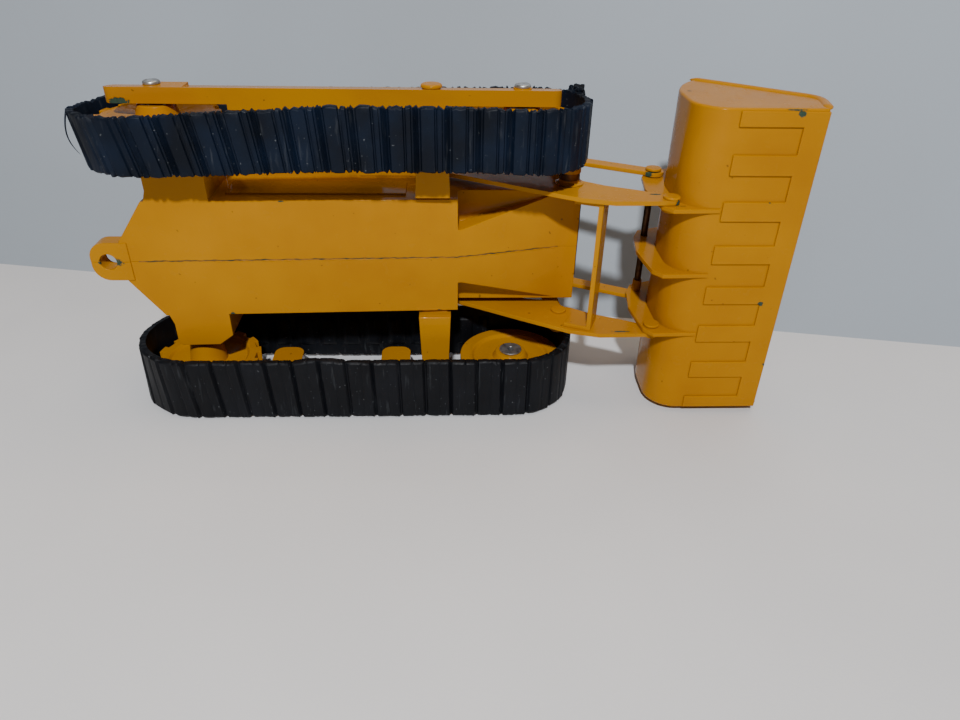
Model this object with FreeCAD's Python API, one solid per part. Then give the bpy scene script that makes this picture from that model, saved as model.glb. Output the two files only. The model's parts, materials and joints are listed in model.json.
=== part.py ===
import FreeCAD, Part
import math
import os
from FreeCAD import Vector

# Die-cast toy crawler loader, millimetres. +X is forward, +Y is the operator's left, +Z is up.
# While modelling, x = 0 is midway between the axles, y = 0 the seam of the two body halves and
# z = 0 the ground. save() moves everything so that x = 0 is midway along the whole toy.

# ---- tracks and wheels
axle_gap = 94.0            # sprocket axle to idler axle
belt_radius = 18.5         # outside of the rubber belt round either wheel, and the axle height
belt_thick = 2.2           # rubber band with its grousers
belt_inner_y = 27.3        # inboard edge of the belt
belt_width = 18.2
idler_radius = 15.8
sprocket_tip_radius = 15.8
sprocket_root_radius = 14.4
sprocket_teeth = 14
wheel_face_y = 35.2        # inboard rim face of both wheels
wheel_width = 3.2          # rim width
wheel_web = 1.6            # thickness of the dished web
web_dish = 1.0             # rim face to the web
wheel_rim = 2.2            # radial thickness of the rim
hub_radius = 4.6
idler_hub_y = 34.0         # inboard face of the idler hub
sprocket_hub_y = 29.6      # inboard end of the sprocket hub
axle_radius = 1.5
run_fit = 0.08             # radial clearance of a wheel or lever on its rivet
side_gap = 0.2             # side clearance of turning parts
rivet_head_radius = 2.15
rivet_head_high = 0.9
tube_flange_radius = 3.5   # flared inner end of the tubular idler rivet
tube_bore_radius = 1.0
flange_thick = 0.6

# ---- side frames
frame_outer_y = 45.6
frame_end_thick = 4.0      # bar thickness beside the wheels
frame_draft = 0.8          # the outer face leans in towards the top
frame_pad_rear = -2.0      # raised pad on the bar round the rear rivet, from the axle
frame_pad_front = 8.4
frame_boss_radius = 2.4    # round boss under the other heads
frame_mid_thick = 5.4      # bar thickness between the wheels
frame_low_z = 14.6
frame_high_z = 21.0
frame_overhang = 10.0      # bar past the idler axle
frame_rear_overhang = 11.4 # bar past the sprocket axle
frame_mid_rear = -28.0
frame_mid_front = 27.0
carrier_high = 7.4         # carrier lugs above the bar
carrier_long = 9.2
carrier_thick = 3.0
carrier_y = 38.5
carrier_x = (-23.8, 10.6)

# ---- body halves
wall = 2.2
belly_half = 17.1
belly_front_x = 30.3
belly_front_z = 14.05
belly_slope = 0.034        # the belly falls towards the rear
hood_low_z = 21.7
hood_front_x = 65.5
hood_top_z = 57.0
hood_rear_x = 2.0
deck_z = 33.0              # underside of the deck plate
deck_thick = 1.6
tank_top_z = 44.0
tank_front_x = -37.0
body_behind = 1.8          # body box behind the drive housing
tail_long = 8.0            # tapered tail, from the box to the tongue
tail_half = 5.9
nose_half_rear = 8.2
nose_half_front = 16.4
nose_flare_x = 58.6
nose_slope = 0.26
nose_front_x = 65.0
panel_proud = 0.6          # raised panel on each side wall
panel_low_z = 17.0
panel_high_z = 27.0
panel_rear_x = -33.0
panel_front_x = 16.0
drive_ahead = 10.8         # final-drive housing ahead of the sprocket axle
drive_behind = 5.2         # and behind it
drive_end_y = 27.2
drive_chamfer = 3.0
drive_top_z = 31.0
beam_x = 23.5              # cross beam that carries the side frame
beam_root_wide = 9.4
beam_end_wide = 7.6
beam_low_z = 11.5
beam_neck_y = 18.3
stud_radius = 2.0
stud_head_radius = 2.8
tongue_half = 5.6
tongue_round = 4.5         # corner radius of the tongue
tongue_reach = 8.7         # tongue behind the tail
tongue_low_z = 10.6
tongue_high_z = 15.6
hitch_reach = 4.0          # eye of the tongue behind the tail
hitch_radius = 2.3

# ---- top of the body
deck_half = 26.3
deck_rear_x = -36.8
deck_narrow_x = 8.0
deck_front_x = 28.0
deck_narrow_half = 19.0
seat_x = -28.0
seat_long = 15.0
seat_half = 8.5
seat_thick = 5.0
seat_base_high = 6.0
seat_back_high = 15.0
seat_back_thick = 4.0
lever_x = -9.0
lever_y = 13.0
lever_radius = 0.8
lever_high = 15.0
knob_radius = 1.5
console_half = 10.0
console_deep = 5.0
console_high = 17.0
stack_x = 24.0
stack_radius = 2.3
stack_high = 20.0
cleaner_x = 40.0
cleaner_radius = 4.2
cleaner_neck_radius = 1.8
cleaner_high = 10.0
grille_half = 12.5
grille_thick = 1.4
grille_low_z = 28.0
grille_high_z = 53.0
grille_bars = 6
cover_thick = 1.2
cap_radius = 3.4
cap_high = 2.4
lamp_radius = 2.4
lamp_deep = 2.6
lamp_y = 11.6

# ---- loader
sheet = 1.2                # stamped sheet of arms, links and levers
arm_inner_y = 19.4
tower_pivot = (-8.0, 53.0)
tower_radius = 6.2
tower_thick = 1.5
tower_base_half = 10.0
bucket_pivot = (86.6, 6.0)
arm_tip_radius = 2.3
lever_pivot = (61.0, 17.8)
link_top = (60.6, 42.3)
tilt_pin = (87.2, 29.0)
pin_radius = 1.2
rod_radius = 1.0
pin_head_radius = 2.3
pin_head_high = 0.7
lever_hub_radius = 2.8
lever_plate_out = 4.4      # arm face to the outboard face of the lever
lever_eye_radius = 3.0
link_half = 2.3
link_eye_radius = 3.0
link_slack = 0.6           # radial clearance of the link's front eye on the tilt rod
strap_low = (67.4, 5.4)
strap_high = (70.6, 13.6)
flange_long = 6.2

# ---- bucket
bucket_half = 44.8
bucket_wall = 1.6
bucket_side = 1.6
bucket_floor_z = 2.0
bucket_front_x = 121.2
bucket_heel_radius = 9.0
bucket_back_x = 88.4
bucket_back_top_z = 17.0
bucket_lip = (98.9, 36.4)
bucket_cheek = (124.8, 16.0)
cheek_round = 2.0
comb_thick = 0.6
comb_rear_x = 115.2
comb_teeth = 8
comb_pitch = 12.3
comb_tooth_wide = 5.4
comb_tooth_rear_x = 99.0
ear_y = (-18.6, 0.0, 18.6)
ear_thick = 1.2
ear_edge = ((85.9, 32.6), (83.6, 27.5), (82.3, 17.0), (83.0, 10.0), (83.8, 4.2), (86.2, 1.2))
ear_front_x = 98.8

# ---- worked out from the values above
axle_z = belt_radius
sprocket_x = -axle_gap / 2
drive_front_x = sprocket_x + drive_ahead
drive_rear_x = sprocket_x - drive_behind
body_rear_x = drive_rear_x - body_behind
tail_x = body_rear_x - tail_long
tongue_tip_x = tail_x - tongue_reach
hitch_x = tail_x - hitch_reach
idler_x = axle_gap / 2
belt_outer_y = belt_inner_y + belt_width
frame_inner_y = frame_outer_y - frame_end_thick
wheel_back_y = wheel_face_y + wheel_width
hub_back_y = frame_inner_y - 0.6
hood_half = belly_half
comb_low_z = bucket_floor_z - comb_thick
arm_outer_y = arm_inner_y + sheet
deck_top_z = deck_z + deck_thick
lever_out_y = arm_outer_y + lever_plate_out
parts = {}


def block(x0, x1, y0, y1, z0, z1):
    """A box between three pairs of coordinates."""
    return Part.makeBox(x1 - x0, y1 - y0, z1 - z0, Vector(x0, y0, z0))


def side_prism(points, y0, y1):
    """A polygon of (x, z) points, carried from y0 to y1."""
    corners = [Vector(x, y0, z) for x, z in points]
    face = Part.Face(Part.makePolygon(corners + corners[:1]))
    return face.extrude(Vector(0, y1 - y0, 0))


def plan_prism(points, z0, z1):
    """A polygon of (x, y) points, carried from z0 to z1."""
    corners = [Vector(x, y, z0) for x, y in points]
    face = Part.Face(Part.makePolygon(corners + corners[:1]))
    return face.extrude(Vector(0, 0, z1 - z0))


def cross_rod(centre, radius, y0, y1):
    """A cylinder along Y about an (x, z) point."""
    return Part.makeCylinder(radius, y1 - y0, Vector(centre[0], y0, centre[1]), Vector(0, 1, 0))


def upright(x, y, radius, z0, z1):
    """A cylinder along Z."""
    return Part.makeCylinder(radius, z1 - z0, Vector(x, y, z0), Vector(0, 0, 1))


def turned(centre, profile):
    """A solid of revolution about the Y line through an (x, z) point, from (radius, y) points."""
    corners = [Vector(centre[0] + r, y, centre[1]) for r, y in profile]
    face = Part.Face(Part.makePolygon(corners + corners[:1]))
    return face.revolve(Vector(centre[0], 0, centre[1]), Vector(0, 1, 0), 360)


def mirrored(shape):
    """The same piece on the other side of the toy."""
    return shape.mirror(Vector(0, 0, 0), Vector(0, 1, 0))


def along(shape, axis, radius):
    """Rounds every straight edge that runs along one axis."""
    chosen = []
    for edge in shape.Edges:
        line = isinstance(edge.Curve, (Part.Line, Part.LineSegment))
        if line and abs(abs(edge.tangentAt(edge.FirstParameter).dot(axis)) - 1) < 1e-6:
            chosen.append(edge)
    return shape.makeFillet(radius, chosen)


def save(name, shape, both=False):
    """Keeps a piece, or a left piece with its right twin, in the toy's own frame."""
    sides = [("", shape)]
    if both:
        sides = [("_left", shape), ("_right", mirrored(shape))]
    for ending, piece in sides:
        moved = piece.copy()
        moved.translate(Vector(-x_mid, 0, 0))
        parts[name + ending] = moved
        moved.exportStep("parts/" + name + ending + ".step")


def belly_z(x):
    """Height of the sloping belly at a place along the toy."""
    return belly_front_z - belly_slope * (belly_front_x - x)


def belt():
    """The rubber track: a plain closed loop round both wheels."""
    def loop(radius):
        two = [cross_rod((x, axle_z), radius, belt_inner_y, belt_outer_y) for x in (sprocket_x, idler_x)]
        middle = block(sprocket_x, idler_x, belt_inner_y, belt_outer_y, axle_z - radius, axle_z + radius)
        return middle.fuse(two).removeSplitter()
    return loop(belt_radius).cut(loop(belt_radius - belt_thick))


def wheel_profile(tip_radius, hub_y):
    """Half section of a dished wheel: rim, sloping web and hub, as (radius, y)."""
    bore = axle_radius + run_fit
    web_y = wheel_face_y + web_dish
    rim_low = sprocket_root_radius - wheel_rim
    return [
        (bore, hub_y), (hub_radius, hub_y), (hub_radius + 1.0, web_y), (rim_low - 0.8, web_y),
        (rim_low, wheel_face_y), (tip_radius, wheel_face_y), (tip_radius, wheel_back_y),
        (rim_low, wheel_back_y), (hub_radius + 1.0, web_y + wheel_web), (hub_radius, hub_back_y),
        (bore, hub_back_y),
    ]


def idler():
    """The plain front wheel."""
    return turned((idler_x, axle_z), wheel_profile(idler_radius, idler_hub_y))


def sprocket():
    """The toothed rear wheel: gaps are milled between the teeth across the whole rim."""
    wheel = turned((sprocket_x, axle_z), wheel_profile(sprocket_tip_radius, sprocket_hub_y))
    pitch = 2 * math.pi * sprocket_tip_radius / sprocket_teeth
    gap = block(sprocket_root_radius, sprocket_tip_radius + 1, wheel_face_y - 1, wheel_back_y + 1,
                -pitch / 4, pitch / 4)
    for tooth in range(sprocket_teeth):
        cutter = gap.copy()
        cutter.rotate(Vector(0, 0, 0), Vector(0, 1, 0), 360 * tooth / sprocket_teeth)
        cutter.translate(Vector(sprocket_x, 0, axle_z))
        wheel = wheel.cut(cutter)
    return wheel


def sprocket_rivet():
    """Solid rivet through the side frame and the sprocket, pressed into the drive housing."""
    centre = (sprocket_x, axle_z)
    shank = cross_rod(centre, axle_radius, drive_end_y - 4.0, frame_outer_y)
    head = cross_rod(centre, rivet_head_radius, frame_outer_y, frame_outer_y + rivet_head_high)
    return shank.fuse(along_round(head, 0.5)).removeSplitter()


def along_round(head, radius):
    """Rounds the outboard rim of a rivet head that was turned along Y."""
    top = max(edge.BoundBox.YMax for edge in head.Edges)
    rim = [edge for edge in head.Edges if edge.BoundBox.YMin > top - 1e-6]
    return head.makeFillet(radius, rim)


def idler_rivet():
    """Tubular rivet: head outside the side frame, flared and rolled over inside the idler hub."""
    centre = (idler_x, axle_z)
    flare_y = idler_hub_y - side_gap / 2
    shank = cross_rod(centre, axle_radius, flare_y, frame_outer_y)
    flare = cross_rod(centre, tube_flange_radius, flare_y - flange_thick, flare_y)
    head = cross_rod(centre, rivet_head_radius, frame_outer_y, frame_outer_y + rivet_head_high)
    solid = shank.fuse([flare, along_round(head, 0.5)]).removeSplitter()
    return solid.cut(cross_rod(centre, tube_bore_radius, flare_y - 2, frame_inner_y))


def frame_bar(rear, front, inner_y):
    """Length of bar whose outer face leans in by the draft, from its low edge to its high one."""
    corners = [(inner_y, frame_low_z), (frame_outer_y, frame_low_z),
               (frame_outer_y - frame_draft, frame_high_z), (inner_y, frame_high_z)]
    ring = [Vector(rear, y, z) for y, z in corners]
    return Part.Face(Part.makePolygon(ring + ring[:1])).extrude(Vector(front - rear, 0, 0))


def side_frame():
    """The cast bar outside the wheels, thicker in the middle, with two carrier lugs on its inboard side."""
    rear = sprocket_x - frame_rear_overhang
    front = idler_x + frame_overhang
    ends = along(frame_bar(rear, front, frame_inner_y), Vector(0, 1, 0), 2.4)
    middle_y = frame_outer_y - frame_mid_thick
    middle = frame_bar(frame_mid_rear, frame_mid_front, middle_y)
    face_y = frame_outer_y - frame_draft - 0.6
    raised = [block(sprocket_x + frame_pad_rear, sprocket_x + frame_pad_front, face_y, frame_outer_y,
                    frame_low_z, frame_high_z)]
    raised += [cross_rod(at, frame_boss_radius, face_y, frame_outer_y)
               for at in ((idler_x, axle_z), (beam_x, stud_z()))]
    lugs = []
    for x in carrier_x:
        lug_top = frame_high_z + carrier_high
        lug = block(x - carrier_long / 2, x + carrier_long / 2, carrier_y, carrier_y + carrier_thick,
                    frame_low_z + 2, lug_top)
        top = [edge for edge in lug.Edges
               if edge.BoundBox.ZMin > lug_top - 1e-6 and edge.BoundBox.XLength < 1e-6]
        lugs.append(lug.makeFillet(3.2, top))
    frame = ends.fuse([middle] + raised + lugs).removeSplitter()
    for x in (sprocket_x, idler_x):
        frame = frame.cut(cross_rod((x, axle_z), axle_radius, frame_inner_y - 1, frame_outer_y + 1))
    return frame.cut(cross_rod((beam_x, stud_z()), stud_radius, middle_y - 1, frame_outer_y + 1))


def stud_z():
    """Height of the peened stud: the middle of the side frame bar."""
    return (frame_low_z + frame_high_z) / 2


def body_outline(inset):
    """Side outline of the hollow body, moved inwards by inset, as (x, z) points."""
    hood = hood_top_z - inset
    low = hood_low_z + inset
    return [
        (body_rear_x + inset, belly_z(body_rear_x) - 1 + 2 * inset),
        (belly_front_x - inset, belly_z(belly_front_x) - 1 + 2 * inset),
        (belly_front_x - inset, low), (hood_front_x - inset, low), (hood_front_x - inset, hood - 1.5),
        (hood_rear_x + inset, hood), (hood_rear_x + inset, deck_z - inset),
        (tank_front_x - inset, deck_z - inset), (tank_front_x - inset, tank_top_z - inset),
        (body_rear_x + inset, tank_top_z - inset),
    ]


def below_belly():
    """Everything under the sloping belly plane, for trimming."""
    rear = -120.0
    return side_prism([(rear, -20), (belly_front_x, -20), (belly_front_x, belly_front_z),
                       (rear, belly_z(rear))], -60, 60)


def drive_housing():
    """Final-drive housing: stands out from the belly to the sprocket hub, with bevelled corners."""
    slant = drive_chamfer
    outline = [
        (drive_rear_x - 1.6, belly_half - wall), (drive_rear_x, belly_half + 3), (drive_rear_x, drive_end_y - 1),
        (drive_rear_x + 1, drive_end_y), (drive_front_x - 1.4 * slant, drive_end_y),
        (drive_front_x, drive_end_y - slant), (drive_front_x, belly_half - wall),
    ]
    housing = plan_prism(outline, 0, drive_top_z)
    return housing.cut(cross_rod((sprocket_x, axle_z), axle_radius, drive_end_y - 4.0, drive_end_y + 1))


def cross_beam():
    """Beam from the belly to the side frame, with a stud that is peened over outside the bar."""
    end_y = frame_outer_y - frame_mid_thick
    root = beam_root_wide / 2
    tip = beam_end_wide / 2
    plan = [(beam_x - root, beam_neck_y), (beam_x + root, beam_neck_y), (beam_x + tip, end_y), (beam_x - tip, end_y)]
    beam = plan_prism(plan, beam_low_z, frame_high_z - 1)
    neck = block(beam_x - root + 1, beam_x + root - 1, belly_half - wall, beam_neck_y + 1,
                 belly_front_z + 1, frame_high_z - 2)
    stud = cross_rod((beam_x, stud_z()), stud_radius, end_y - 1, frame_outer_y)
    head = cross_rod((beam_x, stud_z()), stud_head_radius, frame_outer_y, frame_outer_y + rivet_head_high)
    return beam.fuse([neck, stud, along_round(head, 0.6)])


def nose():
    """Sloping sump guard under the hood, which flares towards the front."""
    outline = [(belly_front_x - 1, 0), (belly_front_x - 1, nose_half_rear), (belly_front_x + 1, nose_half_rear),
               (nose_flare_x, nose_half_front), (nose_front_x - 2, nose_half_front),
               (nose_front_x, nose_half_front - 2), (nose_front_x, 0)]
    wedge = plan_prism(outline, 0, hood_low_z + 2)
    ramp_z = belly_front_z
    far = nose_front_x + 10
    ramp = side_prism([(belly_front_x - 20, -20), (far, -20), (far, ramp_z + nose_slope * (far - belly_front_x)),
                       (belly_front_x, ramp_z), (belly_front_x - 20, ramp_z)], -1, 60)
    return wedge.cut(ramp)


def tail():
    """Tapered tail of one half, ending in half of the drawbar tongue with its eye."""
    outline = [(body_rear_x + 3, 0), (body_rear_x + 3, belly_half), (body_rear_x, belly_half),
               (tail_x, tail_half), (tail_x, 0)]
    taper = plan_prism(outline, 0, tank_top_z - 8)
    tongue = block(tongue_tip_x, tail_x + 2, 0, tongue_half, tongue_low_z, tongue_high_z)
    corner = [edge for edge in tongue.Edges
              if edge.BoundBox.ZLength > 1 and edge.BoundBox.XMax < tongue_tip_x + 1e-6 and edge.BoundBox.YMin > 1]
    tongue = tongue.makeFillet(tongue_round, corner)
    return taper, tongue.cut(upright(hitch_x, 0, hitch_radius, 0, tank_top_z))


def body_half():
    """Left half casting: a hollow box with drive housing, beam, nose, tail and half the tongue."""
    shell = side_prism(body_outline(0), 0, belly_half)
    hollow = side_prism(body_outline(wall), -1, belly_half - wall)
    panel = block(panel_rear_x, panel_front_x, belly_half - 1, belly_half + panel_proud, panel_low_z, panel_high_z)
    taper, tongue = tail()
    half = shell.cut(hollow).fuse([panel, drive_housing(), nose(), taper]).cut(below_belly())
    return half.fuse([cross_beam(), tongue]).removeSplitter()


def deck():
    """Cast platform plate over the belly, narrowed where the lift arms pass."""
    outline = [(deck_rear_x, -deck_half), (deck_narrow_x, -deck_half), (deck_narrow_x, -deck_narrow_half),
               (deck_front_x, -deck_narrow_half), (deck_front_x, -belly_half), (hood_rear_x, -belly_half),
               (hood_rear_x, belly_half), (deck_front_x, belly_half), (deck_front_x, deck_narrow_half),
               (deck_narrow_x, deck_narrow_half), (deck_narrow_x, deck_half), (deck_rear_x, deck_half)]
    return plan_prism(outline, deck_z, deck_top_z)


def tower():
    """Stamped tower plate beside the hood that carries a lift arm."""
    x, z = tower_pivot
    base = deck_top_z
    y1 = arm_inner_y - side_gap
    y0 = y1 - tower_thick
    plate = side_prism([(x - tower_base_half, base), (x + tower_base_half, base),
                        (x + tower_radius, z), (x - tower_radius, z)], y0, y1)
    plate = plate.fuse(cross_rod(tower_pivot, tower_radius, y0, y1)).removeSplitter()
    return plate.cut(cross_rod(tower_pivot, pin_radius, y0 - 1, y1 + 1))


def rivet(centre, y0, y1):
    """Round-headed pin through sheets that lie between y0 and y1."""
    shank = cross_rod(centre, pin_radius, y0, y1)
    inner = cross_rod(centre, pin_head_radius, y0 - pin_head_high, y0)
    outer = cross_rod(centre, pin_head_radius, y1, y1 + pin_head_high)
    return shank.fuse([inner, along_round(outer, 0.4)]).removeSplitter()


def lift_arm():
    """Stamped lift arm: slopes down from the tower, then runs level to the bucket."""
    tx, tz = tower_pivot
    bx, bz = bucket_pivot
    lx, lz = lever_pivot
    outline = [(tx - 1.5, tz - tower_radius), (37.2, 20.6), (49.0, 13.6), (lx + 1.9, 5.7), (71.3, 3.3),
               (bx, bz - arm_tip_radius), (bx, bz + arm_tip_radius), (79.0, 12.2), (70.5, 15.9),
               (lx + 4, lz + 1.8), (lx + 1.4, lz + 2.6), (lx + 0.4, lz + 6.6), (lx - 8.6, lz + 7.6),
               (50.0, 26.4), (tx + 3, tz + tower_radius - 0.8)]
    arm = side_prism(outline, arm_inner_y, arm_outer_y)
    arm = arm.fuse([cross_rod(tower_pivot, tower_radius, arm_inner_y, arm_outer_y),
                    cross_rod(bucket_pivot, arm_tip_radius, arm_inner_y, arm_outer_y)]).removeSplitter()
    for centre, slack in ((tower_pivot, run_fit), (lever_pivot, 0), (bucket_pivot, 0)):
        arm = arm.cut(cross_rod(centre, pin_radius + slack, arm_inner_y - 1, arm_outer_y + 1))
    return arm


def cross_strap():
    """Flat strap that ties the arms, with an end flange welded to each arm's inner face."""
    (x0, z0), (x1, z1) = strap_low, strap_high
    inner = arm_inner_y - sheet
    strap = side_prism([(x0, z0), (x0 + sheet, z0 - 0.4), (x1 + sheet, z1 - 0.4), (x1, z1)], -inner, inner)
    flange = side_prism([(x0 + sheet, z0 - 0.4), (x1 + sheet, z1 - 0.4), (x1, z1),
                         (x1 - flange_long, z1 + 0.8), (x0 - flange_long, z0 + 2.6), (x0, z0)],
                        inner, arm_inner_y)
    return strap.fuse([flange, mirrored(flange)]).removeSplitter()


def tilt_lever():
    """Tilt lever: hub tube on the arm's outer face and a stamped lever up to the link."""
    inner = arm_outer_y + side_gap
    plate_y = lever_out_y - sheet
    x0, z0 = lever_pivot
    x1, z1 = link_top
    plate = side_prism([(x0 - lever_eye_radius, z0), (x0 + lever_eye_radius, z0),
                        (x1 + link_half, z1), (x1 - link_half, z1)], plate_y, lever_out_y)
    plate = plate.fuse([cross_rod(lever_pivot, lever_eye_radius, plate_y, lever_out_y),
                        cross_rod(link_top, link_half, plate_y, lever_out_y),
                        cross_rod(lever_pivot, lever_hub_radius, inner, lever_out_y)]).removeSplitter()
    plate = plate.cut(cross_rod(lever_pivot, pin_radius + run_fit, inner - 1, lever_out_y + 1))
    return plate.cut(cross_rod(link_top, pin_radius, plate_y - 1, lever_out_y + 1))


def link_pin():
    """Shouldered pin from the tilt lever inwards to the link."""
    shank = cross_rod(link_top, pin_radius, arm_inner_y, lever_out_y)
    collar = cross_rod(link_top, pin_head_radius - 0.3, arm_outer_y + side_gap, lever_out_y - sheet)
    inner = cross_rod(link_top, pin_head_radius, arm_inner_y - side_gap - pin_head_high, arm_inner_y - side_gap)
    neck = cross_rod(link_top, pin_radius, arm_inner_y - side_gap, arm_inner_y)
    outer = cross_rod(link_top, pin_head_radius, lever_out_y, lever_out_y + pin_head_high)
    return shank.fuse([collar, inner, neck, along_round(outer, 0.4)]).removeSplitter()


def tilt_link():
    """Flat strap from the tilt lever down to the tilt rod behind the bucket."""
    (x0, z0), (x1, z1) = link_top, tilt_pin
    long = math.hypot(x1 - x0, z1 - z0)
    across = ((z1 - z0) / long * link_half, -(x1 - x0) / long * link_half)
    strap = side_prism([(x0 + across[0], z0 + across[1]), (x1 + across[0], z1 + across[1]),
                        (x1 - across[0], z1 - across[1]), (x0 - across[0], z0 - across[1])],
                       arm_inner_y, arm_outer_y)
    strap = strap.fuse([cross_rod(link_top, link_eye_radius, arm_inner_y, arm_outer_y),
                        cross_rod(tilt_pin, link_eye_radius, arm_inner_y, arm_outer_y)]).removeSplitter()
    strap = strap.cut(cross_rod(link_top, pin_radius + run_fit, arm_inner_y - 1, arm_outer_y + 1))
    return strap.cut(cross_rod(tilt_pin, rod_radius + link_slack, arm_inner_y - 1, arm_outer_y + 1))


def tilt_rod():
    """Rod through the three bucket ears, headed outside both links."""
    head_y = arm_outer_y + side_gap
    rod = cross_rod(tilt_pin, rod_radius, -head_y, head_y)
    head = along_round(cross_rod(tilt_pin, pin_head_radius, head_y, head_y + pin_head_high), 0.3)
    return rod.fuse([head, mirrored(head)]).removeSplitter()


def bucket_wire(inset, y, reach):
    """Closed side profile of the bucket: heel, back and top curve moved inwards by inset."""
    floor = bucket_floor_z + inset
    back = bucket_back_x + inset
    heel = Vector(bucket_back_x + bucket_heel_radius, y, bucket_floor_z + bucket_heel_radius)
    r0 = bucket_heel_radius - inset
    rise = bucket_lip[1] - bucket_back_top_z
    lean = bucket_lip[0] - bucket_back_x
    r1 = (rise * rise + lean * lean) / (2 * lean)
    top = Vector(bucket_back_x + r1, y, bucket_back_top_z)
    sweep = math.atan2(rise, r1 - lean)

    def on_top(angle):
        return top + Vector(-math.cos(angle), 0, math.sin(angle)) * (r1 - inset)
    front = Vector(bucket_front_x + reach, y, floor)
    low = Vector(heel.x, y, floor)
    rear = Vector(back, y, heel.z)
    high = Vector(back, y, bucket_back_top_z)
    half = math.sqrt(0.5)
    edges = [
        Part.makeLine(front, low),
        Part.Arc(low, heel + Vector(-half, 0, -half) * r0, rear).toShape(),
        Part.makeLine(rear, high),
        Part.Arc(high, on_top(sweep / 2), on_top(sweep)).toShape(),
    ]
    cheek = Vector(bucket_cheek[0] + reach, y, bucket_cheek[1] + reach)
    edges += [Part.makeLine(on_top(sweep), cheek), Part.makeLine(cheek, front)]
    return Part.Wire(edges)


def bucket_shell():
    """The bucket casting: curved shell between two side cheeks, open to the front and top."""
    span = 2 * bucket_half
    outer = Part.Face(bucket_wire(0, -bucket_half, 0)).extrude(Vector(0, span, 0))
    room = Part.Face(bucket_wire(bucket_wall, -bucket_half + bucket_side, 30)).extrude(
        Vector(0, span - 2 * bucket_side, 0))
    shell = outer.cut(room)
    corners = [edge for edge in shell.Edges
               if edge.BoundBox.XMin > bucket_cheek[0] - 1e-6 and edge.BoundBox.YLength > bucket_side / 2]
    return shell.makeFillet(cheek_round, corners)


def wear_comb():
    """Raised wear plate under the cutting edge with a row of tooth shanks pointing back."""
    half = bucket_half - 0.6
    comb = block(comb_rear_x, bucket_front_x, -half, half, comb_low_z, bucket_floor_z)
    first = -comb_pitch * (comb_teeth - 1) / 2
    shanks = []
    for tooth in range(comb_teeth):
        low = max(first + tooth * comb_pitch - comb_tooth_wide / 2, -half)
        high = min(first + tooth * comb_pitch + comb_tooth_wide / 2, half)
        shanks.append(block(comb_tooth_rear_x, comb_rear_x, low, high, comb_low_z, bucket_floor_z))
    return comb.fuse(shanks).removeSplitter()


def ear(y):
    """Ear behind the bucket for the lift arms and the tilt rod; it follows the shell's outside."""
    y0 = y - ear_thick / 2
    y1 = y + ear_thick / 2
    outline = list(ear_edge) + [(ear_front_x, ear_edge[-1][1] + 0.4), (ear_front_x, 20.0), (97.0, 37.0)]
    plate = side_prism(outline, y0, y1)
    inside = Part.Face(bucket_wire(0, y0 - 1, 30)).extrude(Vector(0, ear_thick + 2, 0))
    plate = plate.cut(inside)
    plate = plate.cut(cross_rod(tilt_pin, rod_radius, y0 - 1, y1 + 1))
    if y:
        plate = plate.cut(cross_rod(bucket_pivot, pin_radius + run_fit, y0 - 1, y1 + 1))
    return plate


def seat():
    """Moulded seat with a rounded cushion and back."""
    base = block(seat_x - seat_long / 2 + 1, seat_x + seat_long / 2 - 1, -seat_half + 1, seat_half - 1,
                 deck_top_z, deck_top_z + seat_base_high)
    z = deck_top_z + seat_base_high
    pad = block(seat_x - seat_long / 2, seat_x + seat_long / 2, -seat_half, seat_half, z, z + seat_thick)
    back = block(seat_x - seat_long / 2, seat_x - seat_long / 2 + seat_back_thick, -seat_half, seat_half,
                 z, z + seat_thick + seat_back_high)
    return base.fuse([pad.makeFillet(1.2, pad.Edges), back.makeFillet(1.2, back.Edges)]).removeSplitter()


def control_lever():
    """Thin lever with a ball knob."""
    rod = upright(lever_x, lever_y, lever_radius, deck_top_z, deck_top_z + lever_high)
    knob = Part.makeSphere(knob_radius, Vector(lever_x, lever_y, deck_top_z + lever_high))
    return rod.fuse(knob).removeSplitter()


def console():
    """Instrument box against the back of the hood, with a sloping face."""
    x = hood_rear_x
    low = deck_top_z
    return side_prism([(x, low), (x, low + console_high), (x - console_deep / 2, low + console_high),
                       (x - console_deep, low + console_high - 6), (x - console_deep, low)],
                      -console_half, console_half)


def stack():
    """Exhaust stack on the hood with its silencer."""
    z = hood_line(stack_x - stack_radius)
    pipe = upright(stack_x, 0, stack_radius / 2, z, z + stack_high)
    silencer = upright(stack_x, 0, stack_radius, z + 2, z + stack_high * 0.7)
    return pipe.fuse(silencer).removeSplitter()


def air_cleaner():
    """Mushroom-shaped air intake on the hood."""
    z = hood_line(cleaner_x - cleaner_neck_radius)
    neck = upright(cleaner_x, 0, cleaner_neck_radius, z, z + cleaner_high)
    bowl = upright(cleaner_x, 0, cleaner_radius, z + cleaner_high * 0.5, z + cleaner_high)
    return neck.fuse(along_z_round(bowl, 1.0)).removeSplitter()


def along_z_round(shape, radius):
    """Rounds the top rim of an upright cylinder."""
    top = shape.BoundBox.ZMax
    rim = [edge for edge in shape.Edges if edge.BoundBox.ZMin > top - 1e-6]
    return shape.makeFillet(radius, rim)


def hood_line(x):
    """Height of the hood's top, which falls a little towards the front."""
    share = (x - hood_rear_x) / (hood_front_x - hood_rear_x)
    return hood_top_z - 1.5 * share


def grille():
    """Radiator grille plate on the front of the hood, with slots between its bars."""
    x = hood_front_x
    plate = block(x, x + grille_thick, -grille_half, grille_half, grille_low_z, grille_high_z)
    pitch = (grille_high_z - grille_low_z) / grille_bars
    for bar in range(grille_bars):
        z = grille_low_z + (bar + 0.5) * pitch
        plate = plate.cut(block(x + grille_thick / 2, x + 2 * grille_thick, -grille_half + 2, grille_half - 2,
                                z - pitch / 4, z + pitch / 4))
    return plate


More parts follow.
